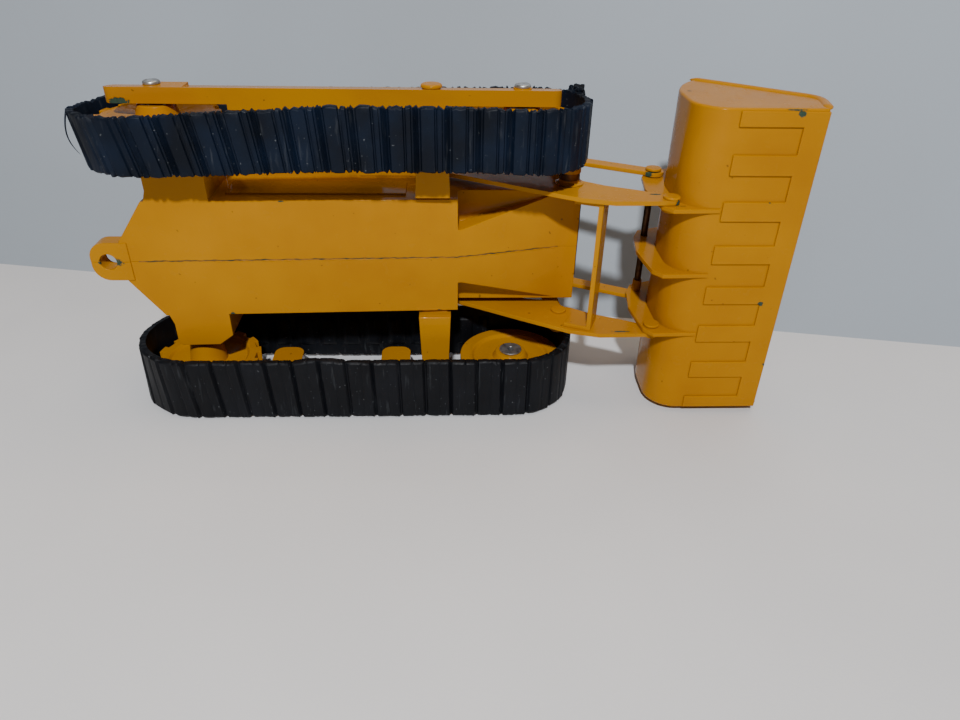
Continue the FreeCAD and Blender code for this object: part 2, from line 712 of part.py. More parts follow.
def filler_cap():
    """Fuel filler cap on the tank."""
    return along_z_round(upright((tank_front_x + body_rear_x) / 2, 9.0, cap_radius, tank_top_z,
                                 tank_top_z + cap_high), 0.6)


os.makedirs("parts", exist_ok=True)
bucket = bucket_shell()
x_mid = (bucket.optimalBoundingBox().XMax + tongue_tip_x) / 2
save("body", body_half(), both=True)
save("side_frame", side_frame(), both=True)
save("track_belt", belt(), both=True)
save("sprocket", sprocket(), both=True)
save("idler", idler(), both=True)
save("sprocket_rivet", sprocket_rivet(), both=True)
save("idler_rivet", idler_rivet(), both=True)
save("tower", tower(), both=True)
save("tower_rivet", rivet(tower_pivot, arm_inner_y - side_gap - tower_thick, arm_outer_y + side_gap), both=True)
save("lift_arm", lift_arm(), both=True)
save("cross_strap", cross_strap())
save("lever_rivet", rivet(lever_pivot, arm_inner_y, lever_out_y + side_gap), both=True)
save("tilt_lever", tilt_lever(), both=True)
save("link_pin", link_pin(), both=True)
save("tilt_link", tilt_link(), both=True)
save("bucket_rivet", rivet(bucket_pivot, ear_y[2] - ear_thick / 2 - side_gap, arm_outer_y), both=True)
save("tilt_rod", tilt_rod())
save("bucket_shell", bucket)
save("wear_comb", wear_comb())
for ear_name, place in zip(("ear_right", "ear_middle", "ear_left"), ear_y):
    save(ear_name, ear(place))
save("deck", deck())
save("seat", seat())
save("control_lever", control_lever(), both=True)
save("console", console())
save("exhaust_stack", stack())
save("air_cleaner", air_cleaner())
save("grille", grille())
save("filler_cap", filler_cap())
for node, solid in parts.items():
    box = solid.BoundBox
    print(node, solid.isValid(), len(solid.Solids), round(solid.Volume, 1),
          [round(value, 1) for value in (box.XMin, box.XMax, box.YMin, box.YMax, box.ZMin, box.ZMax)])
print("x_mid", x_mid)
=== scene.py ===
import json
import math

import bmesh
import bpy
import numpy as np
from mathutils import Matrix, Vector


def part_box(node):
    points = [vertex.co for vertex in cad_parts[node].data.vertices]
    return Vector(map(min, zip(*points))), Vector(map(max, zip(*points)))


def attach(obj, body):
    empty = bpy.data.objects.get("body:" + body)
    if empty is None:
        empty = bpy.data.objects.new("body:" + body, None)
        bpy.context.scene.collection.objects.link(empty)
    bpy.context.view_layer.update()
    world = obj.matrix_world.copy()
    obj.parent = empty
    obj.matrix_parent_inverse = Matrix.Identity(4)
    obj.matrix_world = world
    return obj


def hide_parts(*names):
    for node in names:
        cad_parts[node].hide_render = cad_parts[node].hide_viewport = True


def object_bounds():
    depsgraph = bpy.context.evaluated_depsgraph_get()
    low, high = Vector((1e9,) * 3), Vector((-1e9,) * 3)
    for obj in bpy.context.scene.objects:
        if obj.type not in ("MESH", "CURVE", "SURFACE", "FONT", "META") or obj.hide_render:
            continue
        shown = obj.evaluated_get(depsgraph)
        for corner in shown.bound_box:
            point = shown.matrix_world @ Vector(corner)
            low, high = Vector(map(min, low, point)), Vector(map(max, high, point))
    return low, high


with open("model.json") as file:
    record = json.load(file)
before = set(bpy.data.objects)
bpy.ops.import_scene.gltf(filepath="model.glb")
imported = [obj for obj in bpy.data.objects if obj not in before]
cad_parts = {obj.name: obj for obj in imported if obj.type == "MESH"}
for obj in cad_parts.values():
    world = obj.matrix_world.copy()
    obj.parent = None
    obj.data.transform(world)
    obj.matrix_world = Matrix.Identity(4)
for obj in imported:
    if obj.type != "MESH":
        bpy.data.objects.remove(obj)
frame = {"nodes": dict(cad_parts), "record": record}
cad_low, cad_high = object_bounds()
MM = 0.001

# ---- Camera, table and paper
# The toy lies on its left side on a sheet of pale paper, with a greyer sheet leaning up behind it.
# It is seen from below its belly, from a little above the table.
EYE = Vector((0.548, -87.811, -178.531)) * MM
RIGHT = Vector((0.999068, -0.018051, -0.039204))
DOWN = Vector((-0.005824, 0.843640, -0.536871))
AHEAD = Vector((0.042766, 0.536599, 0.842748))
camera_data = bpy.data.cameras.new("camera")
camera_data.sensor_width = 36.0
camera_data.lens = 27.576
camera_data.clip_start = 0.01
camera = bpy.data.objects.new("camera", camera_data)
bpy.context.scene.collection.objects.link(camera)
camera.matrix_world = Matrix.Translation(EYE) @ Matrix((RIGHT, -DOWN, -AHEAD)).transposed().to_4x4()
bpy.context.scene.camera = camera


def skin(name, grid, around=True, along=False, capped=False, crease=35):
    """Mesh of a grid of points: each cell of four neighbours is one face. The grid may close
    around its columns, along its rows, and with a fan over its first and last rows."""
    grid = np.asarray(grid, float)
    rows, columns = grid.shape[:2]
    number = np.arange(rows * columns).reshape(rows, columns)
    if along:
        number = np.vstack([number, number[:1]])
    if around:
        number = np.hstack([number, number[:, :1]])
    cells = np.stack([number[:-1, :-1], number[:-1, 1:], number[1:, 1:], number[1:, :-1]], -1).reshape(-1, 4)
    points = grid.reshape(-1, 3)
    faces = cells.tolist()
    if capped:
        faces += [list(range(columns))[::-1], list(range((rows - 1) * columns, rows * columns))]
    mesh = bpy.data.meshes.new(name)
    mesh.from_pydata(points, [], faces)
    tidy(mesh, crease, around and (along or capped))
    return place(name, mesh)


def tidy(mesh, crease, closed):
    """Merges doubled corners, turns a closed skin outwards, and shades smooth up to the crease angle."""
    shape = bmesh.new()
    shape.from_mesh(mesh)
    bmesh.ops.remove_doubles(shape, verts=shape.verts, dist=2e-7)
    if closed:
        bmesh.ops.recalc_face_normals(shape, faces=shape.faces)
    shape.to_mesh(mesh)
    shape.free()
    mesh.polygons.foreach_set("use_smooth", np.ones(len(mesh.polygons), bool))
    mesh.set_sharp_from_angle(angle=math.radians(crease))


def place(name, mesh):
    """An object at the origin that shows this mesh."""
    piece = bpy.data.objects.new(name, mesh)
    bpy.context.scene.collection.objects.link(piece)
    return piece


def node(tree, kind, sockets=None, **settings):
    """One shader node with its settings, and its sockets fed from numbers or other nodes' outputs."""
    made = tree.nodes.new("ShaderNode" + kind)
    for key, value in settings.items():
        setattr(made, key, value)
    for key, value in (sockets or {}).items():
        if isinstance(value, bpy.types.NodeSocket):
            tree.links.new(value, made.inputs[key])
        else:
            made.inputs[key].default_value = value
    return made


def noise(tree, where, scale, detail, rough=0.5):
    """Fractal noise round 0.5, with so many waves in a metre and so many finer octaves."""
    sockets = {"Vector": where, "Scale": scale, "Detail": detail, "Roughness": rough}
    return node(tree, "TexNoise", sockets).outputs["Fac"]


def fade(tree, value, start, end, low, high):
    """A number that goes from low to high while the value goes from start to end."""
    return node(tree, "MapRange", {"Value": value, 1: start, 2: end, 3: low, 4: high}).outputs[0]


def ramp(tree, value, start, end, dark, pale):
    """A colour that goes from dark to pale while the value goes from start to end."""
    made = node(tree, "ValToRGB", {"Fac": value})
    for stop, position, colour in zip(made.color_ramp.elements, (start, end), (dark, pale)):
        stop.position = position
        stop.color = (*colour, 1)
    return made.outputs["Color"]


def blend(tree, amount, under, over):
    """The first colour where the amount is 0, the second where it is 1."""
    return node(tree, "MixRGB", {0: amount, 1: under, 2: over}).outputs[0]


def relief(tree, height, strength, deep, below=None, **settings):
    """Bump of a depth in metres, laid over another bump if one is given."""
    sockets = {"Height": height, "Strength": strength, "Distance": deep}
    if below is not None:
        sockets["Normal"] = below
    return node(tree, "Bump", sockets, **settings).outputs["Normal"]


def new_material(name):
    """An empty node material, with its output node and the piece's own coordinates."""
    material = bpy.data.materials.new(name)
    material.use_nodes = True
    tree = material.node_tree
    tree.nodes.clear()
    output = node(tree, "OutputMaterial")
    coordinates = node(tree, "TexCoord").outputs["Object"]
    return material, tree, output, coordinates


def paper(name, pale, shaded, scale):
    """Matt paper with soft smudges and fibres, seen only from its front."""
    material, tree, output, where = new_material(name)
    tint = ramp(tree, noise(tree, where, scale, 3.0), 0.35, 0.7, shaded, pale)
    fibres = relief(tree, noise(tree, where, 900.0, 2.0), 0.15, 0.0002)
    front = node(tree, "BsdfPrincipled", {"Base Color": tint, "Roughness": 0.7,
                                          "Specular IOR Level": 0.25, "Normal": fibres})
    behind = node(tree, "BsdfTransparent")
    facing = node(tree, "NewGeometry").outputs["Backfacing"]
    mix = node(tree, "MixShader", {0: facing, 1: front.outputs[0], 2: behind.outputs[0]})
    tree.links.new(mix.outputs[0], output.inputs["Surface"])
    return material


TABLE_GAP = 0.0001
TABLE_NEAR_Z = -0.9
table_y = cad_high.y + TABLE_GAP
fold_x = np.linspace(-1.4, 1.4, 41)
fold_z = 0.0742 - 0.190 * fold_x
near = np.stack([fold_x, np.full_like(fold_x, table_y), np.full_like(fold_x, TABLE_NEAR_Z)], -1)
fold = np.stack([fold_x, np.full_like(fold_x, table_y), fold_z], -1)
table = skin("table", np.stack([near, fold]), around=False)
table.data.materials.append(paper("table_paper", (0.76, 0.76, 0.775), (0.68, 0.685, 0.705), 9.0))
BACKDROP_RISE = np.array([0.05, -1.6, 0.62])
backdrop = skin("backdrop", np.stack([fold, fold + BACKDROP_RISE]), around=False)
backdrop.data.materials.append(paper("backdrop_paper", (0.40, 0.455, 0.52), (0.345, 0.385, 0.43), 4.0))
for sheet, inside in ((table, Vector((0, -1, 0))), (backdrop, Vector((0, 0, -1)))):
    if sheet.data.polygons[0].normal.dot(inside) < 0:
        sheet.data.flip_normals()

# ---- Light
# A small neutral lamp above and in front, whose shadows have crisp edges, a broad warm light high
# above, and a dim warm room around.


def soft_lamp(name, place_at, look_at, wide, watts, colour):
    """A square area lamp that faces a point."""
    lamp = bpy.data.lights.new(name, "AREA")
    lamp.size = wide
    lamp.energy = watts
    lamp.color = colour
    holder = bpy.data.objects.new(name, lamp)
    bpy.context.scene.collection.objects.link(holder)
    spot = Vector(place_at)
    aim = (Vector(look_at) - spot).to_track_quat("-Z", "Y")
    holder.matrix_world = Matrix.Translation(spot) @ aim.to_matrix().to_4x4()


soft_lamp("ceiling", (0.15, -0.90, 0.05), (0.0, 0.0, 0.0), 0.50, 2.4, (1.0, 0.80, 0.60))
soft_lamp("lamp_in_front", (-0.03, -0.50, -0.50), (0.0, 0.0, 0.0), 0.03, 5.6, (0.96, 0.98, 1.0))
room = bpy.data.worlds.new("room")
room.use_nodes = True
room.node_tree.nodes["Background"].inputs["Color"].default_value = (1.0, 0.86, 0.72, 1)
room.node_tree.nodes["Background"].inputs["Strength"].default_value = 0.10
bpy.context.scene.world = room

# ---- Body castings
# Two zinc half castings that meet on the centre line, with the final-drive housings, cross beams,
# sump guard and drawbar in one piece with them, dipped in glossy orange-yellow enamel.


def spread(tree, where, spots):
    """Smallest stretched distance to any spot: for each (centre, half sizes), the length of
    (point - centre) / half sizes. It is 1 on the rim of a spot."""
    least = None
    for centre, half in spots:
        inverse = Vector([1 / (h * MM) for h in half])
        shift = Vector([-c * MM * i for c, i in zip(centre, inverse)])
        local = node(tree, "VectorMath", {0: where, 1: inverse, 2: shift}, operation="MULTIPLY_ADD")
        length = node(tree, "VectorMath", {0: local.outputs[0]}, operation="LENGTH").outputs["Value"]
        if least is None:
            least = length
        else:
            least = node(tree, "Math", {0: least, 1: length}, operation="MINIMUM").outputs[0]
    return least


def enamel_colour(tree, where, bright, deep, scuff):
    """Enamel that is deeper where it is thin, browned by handling where the scuff noise is high, with
    fine dark specks of dust under its surface."""
    tone = ramp(tree, noise(tree, where, 38.0, 3.0, 0.55), 0.3, 0.68, deep, bright)
    handled = blend(tree, fade(tree, scuff, 0.60, 0.78, 0.0, 0.22), tone, (0.30, 0.13, 0.006, 1))
    specks = fade(tree, noise(tree, where, 640.0, 1.0), 0.765, 0.80, 0.0, 0.75)
    return blend(tree, specks, handled, (0.12, 0.055, 0.01, 1))


def enamel_relief(tree, where, chip):
    """Slow waves where the enamel flowed, a slight orange peel on them, and a step down at a chip."""
    waves = relief(tree, noise(tree, where, 130.0, 2.0), 0.35, 0.0004)
    peel = relief(tree, noise(tree, where, 820.0, 2.0), 0.12, 0.00008, waves)
    return relief(tree, chip, 0.7, 0.00012, peel, invert=True)


def enamel(name, bright, deep, chips):
    """Enamel over zinc: flowed gloss with handling marks, and chips down to the green-grey undercoat
    where the list of spots says. A chip's rim is a spot's rim made ragged by fine noise."""
    material, tree, output, where = new_material(name)
    scuff = noise(tree, where, 210.0, 4.0, 0.75)
    ragged = noise(tree, where, 1500.0, 3.0, 0.7)
    sockets = {0: ragged, 1: 1.5, 2: spread(tree, where, chips)}
    rim = node(tree, "Math", sockets, operation="MULTIPLY_ADD").outputs[0]
    chip = fade(tree, rim, 1.78, 1.62, 0.0, 1.0)
    undercoat = ramp(tree, ragged, 0.0, 1.0, (0.008, 0.022, 0.012), (0.06, 0.105, 0.075))
    colour = blend(tree, chip, enamel_colour(tree, where, bright, deep, scuff), undercoat)
    gloss = fade(tree, scuff, 0.3, 0.8, 0.16, 0.34)
    dull = node(tree, "Math", {0: chip, 1: 0.4, 2: gloss}, operation="MULTIPLY_ADD").outputs[0]
    coat = node(tree, "BsdfPrincipled", {
        "Base Color": colour, "Roughness": dull, "Normal": enamel_relief(tree, where, chip),
        "Coat Weight": 0.10, "Coat Roughness": 0.035, "Specular IOR Level": 0.07})
    tree.links.new(coat.outputs[0], output.inputs["Surface"])
    return material


paint_bright = (0.46, 0.196, 0.0)
paint_deep = (0.40, 0.160, 0.0)
# Each chip is an oval spot: its centre and its half sizes in mm.
body_chips = [
    ((-92.3, 0.0, 10.6), (3.4, 1.2, 1.6)), ((-81.5, -42.1, 14.6), (2.6, 0.9, 0.9)),
    ((-62.0, 17.0, 12.0), (0.7, 0.7, 0.5)), ((38.2, -9.0, 14.0), (0.5, 0.6, 0.6)),
    ((-44.0, -17.1, 12.3), (1.2, 0.35, 0.35)), ((-2.0, 17.1, 13.7), (0.9, 0.35, 0.35)),
]
body_paint = enamel("body_enamel", paint_bright, paint_deep, body_chips)


def owner(part):
    """The body that a CAD node belongs to."""
    return next(b for b, members in frame["record"]["behaviour"]["bodies"].items() if part in members)


def eased(slot, material, radius, *nodes):
    """Cast or pressed pieces with rounded edges: each node's faces with their corners merged and flat
    neighbours joined, then every edge sharper than 30 degrees rounded by the radius in mm."""
    merge_within, flat_to, rounded_from, creased_from = 2e-6, 0.6, 30, 40
    made = []
    for part in nodes:
        mesh = frame["nodes"][part].data.copy()
        mesh.name = part + "_finished"
        mesh.materials.clear()
        shape = bmesh.new()
        shape.from_mesh(mesh)
        bmesh.ops.remove_doubles(shape, verts=shape.verts, dist=merge_within)
        bmesh.ops.dissolve_limit(shape, angle_limit=math.radians(flat_to), verts=shape.verts,
                                 edges=shape.edges)
        shape.to_mesh(mesh)
        shape.free()
        mesh.polygons.foreach_set("use_smooth", np.ones(len(mesh.polygons), bool))
        mesh.set_sharp_from_angle(angle=math.radians(creased_from))
        mesh.materials.append(material)
        piece = place(part + "_finished", mesh)
        bevel = piece.modifiers.new("edges", "BEVEL")
        bevel.width = radius * MM
        bevel.segments = 2
        bevel.limit_method = "ANGLE"
        bevel.angle_limit = math.radians(rounded_from)
        bevel.use_clamp_overlap = True
        bevel.harden_normals = True
        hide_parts(part)
        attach(piece, owner(part))
        made.append(piece)
    return made


eased("yellow_enamel", body_paint, 1.0, "body_left", "body_right")

# ---- Belly joint
# The two castings meet on the centre line in a fine dark line of dirt and undercoat, where the
# enamel doesn't bridge them, and the enamel has set in a low uneven ridge beside it.


def seam_material():
    """Dirt and undercoat in a joint: dark green-black with rusty brown places."""
    material, tree, output, where = new_material("seam_dirt")
    patch = noise(tree, where, 260.0, 4.0)
    tone = ramp(tree, patch, 0.4, 0.72, (0.006, 0.022, 0.008), (0.30, 0.12, 0.006))
    dirt = node(tree, "BsdfPrincipled", {"Base Color": tone, "Roughness": 0.75,
                                         "Normal": relief(tree, patch, 0.4, 0.0001)})
    tree.links.new(dirt.outputs[0], output.inputs["Surface"])
    return material


def belly_line(start, end, count):
    """Points along the belly's centre line, from start to end past the tail: x, and the height z that
    falls by the belly's slope behind the corner and rises by the sump guard's slope before it."""
    corner_x, corner_z = 0.0034, 0.01405
    belly_slope, guard_slope = 0.034, 0.26
    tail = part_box("body_left")[0].x
    x = np.linspace(tail + start, tail + end, count)
    return x, corner_z + np.where(x < corner_x, belly_slope, guard_slope) * (x - corner_x)


def seam_strip():
    """A thin ribbon along the belly line: its middle wanders with a sum of sines, its half width with
    a product of two, and it is sunk half a millimetre into the castings."""
    x, belly = belly_line(0.0128, 0.1355, 420)
    wander = 0.00006 * np.sin(x * 900) + 0.00005 * np.sin(x * 2300 + 1)
    half = 0.00014 + 0.00010 * np.abs(np.sin(x * 410) * np.sin(x * 1370 + 2))
    y = np.stack([wander - half, wander - half, wander + half, wander + half], -1)
    z = np.stack([belly + 0.0005, belly - 0.00002, belly - 0.00002, belly + 0.0005], -1)
    return np.stack([np.repeat(x[:, None], 4, 1), y, z], -1)


def flash_ridge():
    """Flow of enamel along the joint: a low ridge beside the dark line, an oval of up to 0.18 mm whose
    size comes and goes with the absolute value of a product of sines."""
    x, belly = belly_line(0.030, 0.134, 500)
    size = 0.00018 * (0.35 + 0.65 * np.abs(np.sin(x * 530) * np.cos(x * 1490)))
    turn = np.linspace(0, 2 * math.pi, 10, endpoint=False)
    y = 0.00034 + size[:, None] * np.cos(turn)[None, :] * 1.2
    z = belly[:, None] + 0.00004 + size[:, None] * np.sin(turn)[None, :]
    return np.stack([np.repeat(x[:, None], 10, 1), y, z], -1)


ridge = skin("enamel_ridge", flash_ridge(), capped=True, crease=60)
ridge.data.materials.append(body_paint)
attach(ridge, "chassis")
seam = skin("belly_joint", seam_strip(), capped=True)
seam.data.materials.append(seam_material())
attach(seam, "chassis")

# ---- Side frames
# Cast zinc bars outside the wheels, with two carrier lugs each, in the body's enamel. They are held
# by the axle rivets and by the peened stud of the cross beam.
eased("yellow_enamel", body_paint, 0.9, "side_frame_left", "side_frame_right")

# ---- Rubber tracks
# Moulded rubber bands: wide shoes with a rib and a pointed grouser between them outside, and
# rounded driving lugs inside. The right one has crept inwards and its outer edge has torn.
# The tables give one shoe's profile along the band and the band's section across it.
SHOES = 39
SHOE_AT = np.array([0.0, 0.02, 0.05, 0.15, 0.28, 0.40, 0.46, 0.49, 0.53, 0.56, 0.60, 0.70, 0.73, 0.78, 0.83,
                    0.87, 0.90, 0.96])
LEFT_TREAD = np.array([0.15, 0.45, 0.72, 0.80, 0.74, 0.80, 0.74, 0.66, 0.60, 0.74, 0.80, 0.76, 0.80, 0.78,
                       0.86, 1.0, 0.62, 0.05])
RIGHT_TREAD = np.array([0.05, 0.40, 0.62, 0.66, 0.66, 0.64, 0.58, 0.10, 0.06, 0.50, 0.62, 0.55, 0.12, 0.08,
                        0.52, 1.0, 0.62, 0.05])
LUG_ALONG = np.array([0.0, 0.1, 0.45, 0.85, 1.0, 1.0, 1.0, 1.0, 1.0, 0.95, 0.8, 0.45, 0.2, 0.0, 0.0, 0.0,
                      0.0, 0.0])
OUTSIDE_AT = np.array([0, 0.012, 0.03, 0.12, 0.3, 0.5, 0.7, 0.88, 0.97, 0.988, 1.0])
OUTSIDE_TREAD = np.array([0.2, 0.7, 1, 1, 1, 1, 1, 1, 1, 0.7, 0.2])
INSIDE_AT = np.array([1.0, 0.985, 0.90, 0.78, 0.755, 0.72, 0.68, 0.5, 0.3, 0.235, 0.21, 0.19, 0.1, 0.015,
                      0.0])
LUG_AT = [0.19, 0.21, 0.235, 0.30, 0.68, 0.72, 0.755, 0.78]
LUG_ACROSS = [0, 0.6, 0.9, 1, 1, 0.85, 0.5, 0]
TREAD_HIGH = 0.0010
BAND_THICK = 0.0012
LUG_HIGH = 0.0012
LUG_ON_WHEEL = 0.00008
WHEEL_MARGIN = 0.006
LINE_DEPTH = 0.0016
WAVE_HIGH, WAVE_RATE = 0.00010, 640
SHOE_UNEVEN = 0.00012
TOP_SAG = 0.0005
SKIN_INSIDE = 0.00002


def band_section():
    """The band's section, once round its corners: how far each is from the inner edge to the outer,
    1 on the outside and 0 on the inside, and its shares of the tread's and of the lug's height."""
    outside = np.zeros(len(OUTSIDE_AT))
    inside = np.zeros(len(INSIDE_AT))
    across = np.concatenate([OUTSIDE_AT, INSIDE_AT])
    is_out = np.concatenate([outside + 1, inside])
    tread_share = np.concatenate([OUTSIDE_TREAD, inside])
    lug_share = np.concatenate([outside, np.interp(INSIDE_AT, LUG_AT, LUG_ACROSS)])
    return across, is_out, tread_share, lug_share


def band_edges(station, depth, inner_edge, outer_edge, rough, chance):
    """The y of the inner edge, of the outer edge and of the middle all along the band. The edges follow
    their tables in mm. The outer one is cut in between the shoes and by a random depth of up to rough
    mm, and the inner one by half to all of the same."""
    between_shoes = 0.00035
    y_in = np.interp(station, *inner_edge, period=1) * MM
    y_out = np.interp(station, *outer_edge, period=1) * MM
    notch = between_shoes * (1 - depth) + rough * MM * chance.random(len(station)) * (1 - 0.6 * depth)
    lip = notch * (0.5 + 0.5 * chance.random(len(station)))
    return y_in + lip, y_out - notch, (y_in + y_out) / 2


def round_the_wheels(s, gap, radius, rear, front):
    """The line under both wheels, round the front one, back over both and round the rear one. At the
    distance s along it: the x its outward arrow starts from, and that arrow's angle."""
    front_end = gap + math.pi * radius
    top_end = front_end + gap
    on = [s < gap, s < front_end, s < top_end]
    x = np.select(on, [rear + s, np.full_like(s, front), front - (s - front_end)], rear)
    down, up = np.full_like(s, -math.pi / 2), np.full_like(s, math.pi / 2)
    turn = np.select(on, [down, (s - gap) / radius - math.pi / 2, up], (s - top_end) / radius + math.pi / 2)
    return x, turn


def track_grid(cad, rear, front, tread, inner_edge, outer_edge, lean, slack, rough, seed):
    """A band round two wheels: rows run along it, columns run round its section. The distance from
    the wheels' centre line is the tread table for the shoe's phase outside and the lug table inside.
    The shoes lean by their own table, the top run sags and slack hangs out behind the rear wheel."""
    chance = np.random.default_rng(seed)
    low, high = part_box(cad)
    side = 1.0 if low.y > 0 else -1.0
    outer = (high.z - low.z) / 2
    radius = outer - LINE_DEPTH
    gap = front - rear
    half_way = gap + math.pi * radius
    length = 2 * half_way
    s = ((np.arange(SHOES)[:, None] + SHOE_AT[None, :]) * length / SHOES).ravel()
    station = s / length
    depth = np.tile(tread, SHOES)
    across, is_out, tread_share, lug_share = band_section()
    y_in, y_out, middle = band_edges(station, depth, inner_edge, outer_edge, rough, chance)
    y = y_in[:, None] * (1 - across) + y_out[:, None] * across
    tilt = np.interp(station, *lean, period=1)
    s_leant = np.mod(s[:, None] + tilt[:, None] * (y - middle[:, None]), length)
    uneven = np.repeat(SHOE_UNEVEN * chance.standard_normal(SHOES), len(SHOE_AT))
    wobble = WAVE_HIGH * np.sin(s * WAVE_RATE) + uneven
    inner_face = outer - TREAD_HIGH - BAND_THICK
    reach = inner_face + (depth * TREAD_HIGH + wobble)[:, None] * tread_share + BAND_THICK * is_out
    past_margin = np.mod(s + WHEEL_MARGIN, half_way)
    on_wheel = (past_margin > gap) | (past_margin < 2 * WHEEL_MARGIN)
    lug = np.tile(LUG_ALONG, SHOES) * np.where(on_wheel, LUG_ON_WHEEL, LUG_HIGH)
    reach = np.minimum(reach - lug[:, None] * lug_share, outer - SKIN_INSIDE)
    x, turn = round_the_wheels(s_leant, gap, radius, rear, front)
    top_run = (s > half_way) & (s < half_way + gap)
    sag = TOP_SAG * np.where(top_run, np.sin((s - half_way) / gap * math.pi) ** 2, 0.0)
    hang = slack * MM * np.clip(-np.cos(turn), 0, 1) ** 1.5 * (0.35 + 0.65 * across)
    z = outer + reach * np.sin(turn) - sag[:, None]
    return np.stack([x + reach * np.cos(turn) - hang, side * y, z], -1)


def middle_xz(part):
    """The middle of a node's box seen from the side: for a round piece, where its axis is."""
    low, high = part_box(part)
    return (low.x + high.x) / 2, (low.z + high.z) / 2


def rubber(name, base, bloom_and_painted_sheen, dust):
    """Old moulded rubber: near-black, with patches blended towards a second colour that is partly blooming
    of the rubber and partly a painted sheen of cool light where it is tinted blue, pale dust caught in
    places and fine scuffs across the band."""
    material, tree, output, where = new_material(name)
    drawn_out = node(tree, "Mapping", {"Vector": where, "Scale": (1.0, 0.12, 1.0)}).outputs[0]
    streak = noise(tree, drawn_out, 900.0, 3.0)
    fleck = noise(tree, where, 1300.0, 1.0)
    # Patches towards the second colour: blooming rubber, and a painted sheen where that colour is tinted
    # blue.
    patches_of_bloom_and_sheen = fade(tree, noise(tree, where, 75.0, 3.0), 0.35, 0.7, 0.0, 1.0)
    tone = blend(tree, patches_of_bloom_and_sheen, (*base, 1), (*bloom_and_painted_sheen, 1))
    dusty = fade(tree, fleck, 0.74, 0.80, 0.0, dust)
    scuffed = fade(tree, streak, 0.62, 0.8, 0.0, 0.25)
    grey = node(tree, "Math", {0: dusty, 1: scuffed}, operation="MAXIMUM").outputs[0]
    pores = relief(tree, fleck, 0.2, 0.00005, relief(tree, streak, 0.35, 0.00008))
    band = node(tree, "BsdfPrincipled", {
        "Base Color": blend(tree, grey, tone, (0.11, 0.12, 0.13, 1)), "Normal": pores,
        "Roughness": fade(tree, streak, 0.3, 0.7, 0.42, 0.62), "Specular IOR Level": 0.16})
    tree.links.new(band.outputs[0], output.inputs["Surface"])
    return material


# The edges' and the lean's tables: stations from 0 to 1 along the band, then mm or shear there.
left_tables = dict(
    inner_edge=([0, 0.105, 0.12, 0.14, 0.155, 0.3, 0.5, 0.8],
                [26.8, 26.8, 26.0, 26.1, 26.8, 26.8, 27.2, 27.2]),
    outer_edge=([0, 0.3, 0.5, 0.8], [46.2, 46.3, 45.4, 45.2]),
    lean=([0, 0.05, 0.16, 0.30, 0.40, 0.5, 0.8, 0.9], [0.10, 0.08, 0.02, 0.0, 0.0, 0.0, 0.0, 0.08]),
    slack=1.2, rough=0.45, seed=3)
right_tables = dict(
    inner_edge=([0, 0.06, 0.15, 0.28, 0.34, 0.42, 0.5, 0.62, 0.82, 0.90],
                [26.9, 27.4, 28.4, 28.4, 27.6, 26.6, 26.3, 26.4, 26.3, 26.3]),
    outer_edge=([0, 0.06, 0.15, 0.24, 0.31, 0.4, 0.5, 0.62, 0.80, 0.90],
                [42.0, 43.2, 44.9, 45.1, 44.6, 43.5, 42.4, 41.9, 41.7, 40.2]),
    lean=([0, 0.05, 0.14, 0.22, 0.40, 0.5, 0.8, 0.9], [-0.20, -0.17, -0.07, 0.0, 0.0, 0.0, 0.0, -0.12]),
    slack=3.5, rough=0.95, seed=5)
# The right band's base and second colours are tinted blue as a painted reflection of cool light from above;
# the left band's are near-neutral black.
for side, tread, tables, base, bloom_and_painted_sheen in (
        ("left", LEFT_TREAD, left_tables, (0.003, 0.0034, 0.0048), (0.006, 0.007, 0.010)),
        ("right", RIGHT_TREAD, right_tables, (0.002, 0.0038, 0.008), (0.0035, 0.009, 0.023))):
    rear = middle_xz("sprocket_" + side)[0]
    front = middle_xz("idler_" + side)[0]
    grid = track_grid("track_belt_" + side, rear, front, tread, **tables)
    band = skin("rubber_track_" + side, grid, along=True, crease=28)
    band.data.materials.append(rubber("rubber_" + side, base, bloom_and_painted_sheen, 0.8))
    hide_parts("track_belt_" + side)
    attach(band, "chassis")

# ---- Frayed rubber
# Where the right track has torn, a thin strand of its rubber stands off the rear corner and two
# lumps hang from the outer edge at the front.


def strand():
    """A thin thread whose centre bows out between its two ends and whose radius tapers with the
    square root of the distance left; ten-sided section."""
    t = np.linspace(0, 1, 60)
    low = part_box("body_right")[0]
    x = low.x + 0.0026 + 0.0012 * t ** 2
    y = -0.0402 + 0.0112 * t
    z = 0.0150 - 0.0030 * np.sin(t * math.pi) - 0.0015 * t
    radius = 0.00024 * np.sqrt(1.02 - t)
    turn = np.linspace(0, 2 * math.pi, 10, endpoint=False)
    return np.stack([x[:, None] + radius[:, None] * np.cos(turn), np.repeat(y[:, None], 10, 1),
                     z[:, None] + radius[:, None] * np.sin(turn)], -1)


def torn_lump(centre, half, seed):
    """A lump: a sphere stretched to its half sizes, its radius multiplied by 1 plus a few sines of the
    two angles with seeded phases."""
    chance = np.random.default_rng(seed).random(4) * 6.28
    up = np.linspace(0, math.pi, 25)[:, None]
    turn = np.linspace(0, 2 * math.pi, 36, endpoint=False)[None, :]
    swell = 1 + 0.16 * np.sin(5 * turn + chance[0]) * np.sin(up) + 0.14 * np.sin(7 * up + chance[1])
    swell = swell + 0.12 * np.sin(9 * turn + chance[2]) * np.sin(6 * up + chance[3]) * np.sin(up)
    unit = np.stack([np.sin(up) * np.cos(turn), np.sin(up) * np.sin(turn), np.cos(up) + 0 * turn], -1)
    return np.array(centre) * MM + unit * swell[..., None] * np.array(half) * MM


frayed = [skin("frayed_strand", strand(), capped=True),
          skin("torn_rubber_front", torn_lump((36.2, -42.6, 27.8), (1.7, 1.9, 2.3), 4), crease=50),
          skin("torn_rubber_low", torn_lump((35.0, -42.2, 30.6), (1.3, 1.5, 1.3), 9), crease=50)]
for shred in frayed:
    shred.data.materials.append(bpy.data.materials["rubber_right"])
    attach(shred, "chassis")

